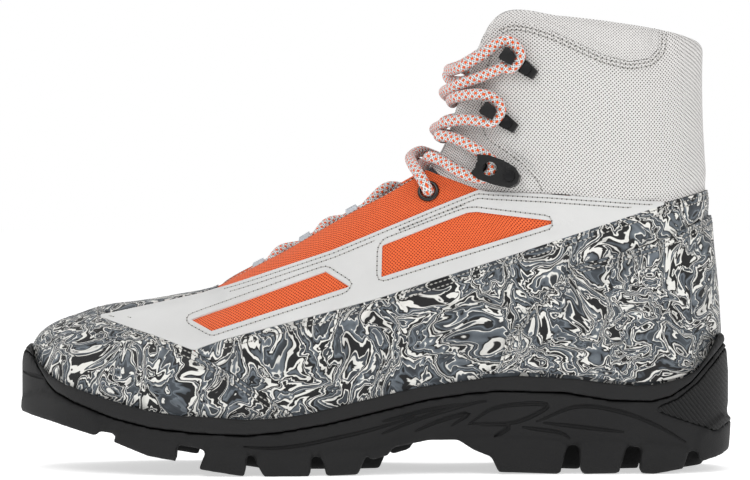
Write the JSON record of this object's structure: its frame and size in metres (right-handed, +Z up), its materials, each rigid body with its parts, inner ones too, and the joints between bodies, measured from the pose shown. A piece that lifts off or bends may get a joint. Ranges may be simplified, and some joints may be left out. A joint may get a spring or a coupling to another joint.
{
  "type": "hiking boot",
  "caption": "Left mid-height lace-up hiking boot: lugged rubber sole, layered upper with padded collar, padded tongue, removable footbed, lace locks, speed hooks and a round lace.",
  "frame": {"origin": "on the floor, under the middle of the boot's bounding box", "axes": "+X from the toe to the heel, -Y towards the outer side of the foot, +Z up"},
  "size_m": [0.306, 0.1113, 0.1967],
  "materials": {
    "tread_rubber": "matt",
    "rand_rubber": "matt",
    "heel_plastic": "fine ribs",
    "shank_steel": "as rolled",
    "board": "pressed fibre",
    "footbed_textile": "soft knit",
    "printed_film": "marbled print, matt",
    "stiffener": "matt",
    "orange_mesh": "knit mesh",
    "pale_mesh": "knit mesh",
    "facing_mesh": "knit mesh",
    "collar_textile": "soft knit",
    "pale_leather": "smooth, satin",
    "foam": "open cell",
    "lining_textile": "brushed knit",
    "eyelet_plastic": "gloss",
    "hardware": "matt",
    "rivet_metal": "satin black",
    "webbing": "woven tape",
    "tongue_textile": "knit mesh",
    "lace_textile": "round braid with orange flecks",
    "aglet_plastic": "clear coat"
  },
  "bodies": {
    "boot": {"outsole": "tread_rubber", "midsole": "rand_rubber", "heel_stabilizer": "heel_plastic", "shank": "shank_steel", "insole_board": "board", "toe_cap": "printed_film", "heel_wrap": "printed_film", "vamp_strip": "printed_film", "toe_puff": "stiffener", "heel_counter": "stiffener", "vamp_mesh_outer": "orange_mesh", "side_panel_outer": "printed_film", "ankle_panel_outer": "pale_mesh", "collar_panel_outer": "collar_textile", "facing_outer": "facing_mesh", "strap_outer": "pale_leather", "collar_foam_outer": "foam", "lining_outer": "lining_textile", "eyelet_outer": "eyelet_plastic", "hook_lower_outer": "hardware", "hook_lower_rivet_outer": "rivet_metal", "hook_upper_outer": "hardware", "hook_upper_rivet_outer": "rivet_metal", "lace_loop_1_outer": "webbing", "lace_loop_2_outer": "webbing", "lace_loop_3_outer": "webbing", "vamp_mesh_inner": "orange_mesh", "side_panel_inner": "printed_film", "ankle_panel_inner": "pale_mesh", "collar_panel_inner": "collar_textile", "facing_inner": "facing_mesh", "strap_inner": "pale_leather", "collar_foam_inner": "foam", "lining_inner": "lining_textile", "eyelet_inner": "eyelet_plastic", "hook_lower_inner": "hardware", "hook_lower_rivet_inner": "rivet_metal", "hook_upper_inner": "hardware", "hook_upper_rivet_inner": "rivet_metal", "lace_loop_1_inner": "webbing", "lace_loop_2_inner": "webbing", "lace_loop_3_inner": "webbing", "lace": "lace_textile", "aglet_1": "aglet_plastic", "aglet_2": "aglet_plastic", "lock_rivet_outer": "rivet_metal", "lock_rivet_inner": "rivet_metal"},
    "tongue": {"tongue": "tongue_textile"},
    "footbed": {"footbed": "footbed_textile"},
    "lace_lock_outer": {"lace_lock_outer": "hardware"},
    "lace_lock_inner": {"lace_lock_inner": "hardware"}
  },
  "joints": [
    {"name": "tongue_tilt", "type": "hinge", "parent": "boot", "child": "tongue", "pos_m": [-0.061, 0.001, 0.06], "axis": [0, 1, 0], "range_deg": [0, 12]},
    {"name": "footbed_lift", "type": "hinge", "parent": "boot", "child": "footbed", "pos_m": [-0.141, 0.001, 0.042], "axis": [0, -1, 0], "range_deg": [0, 3]},
    {"name": "lace_lock_outer_swivel", "type": "hinge", "parent": "boot", "child": "lace_lock_outer", "pos_m": [0.05794, -0.02902, 0.12578], "axis": [-0.1132, -0.9888, 0.0971], "range_deg": [-2, 2]},
    {"name": "lace_lock_inner_swivel", "type": "hinge", "parent": "boot", "child": "lace_lock_inner", "pos_m": [0.05797, 0.0297, 0.12583], "axis": [-0.1444, 0.988, 0.0543], "range_deg": [-2, 2]}
  ]
}
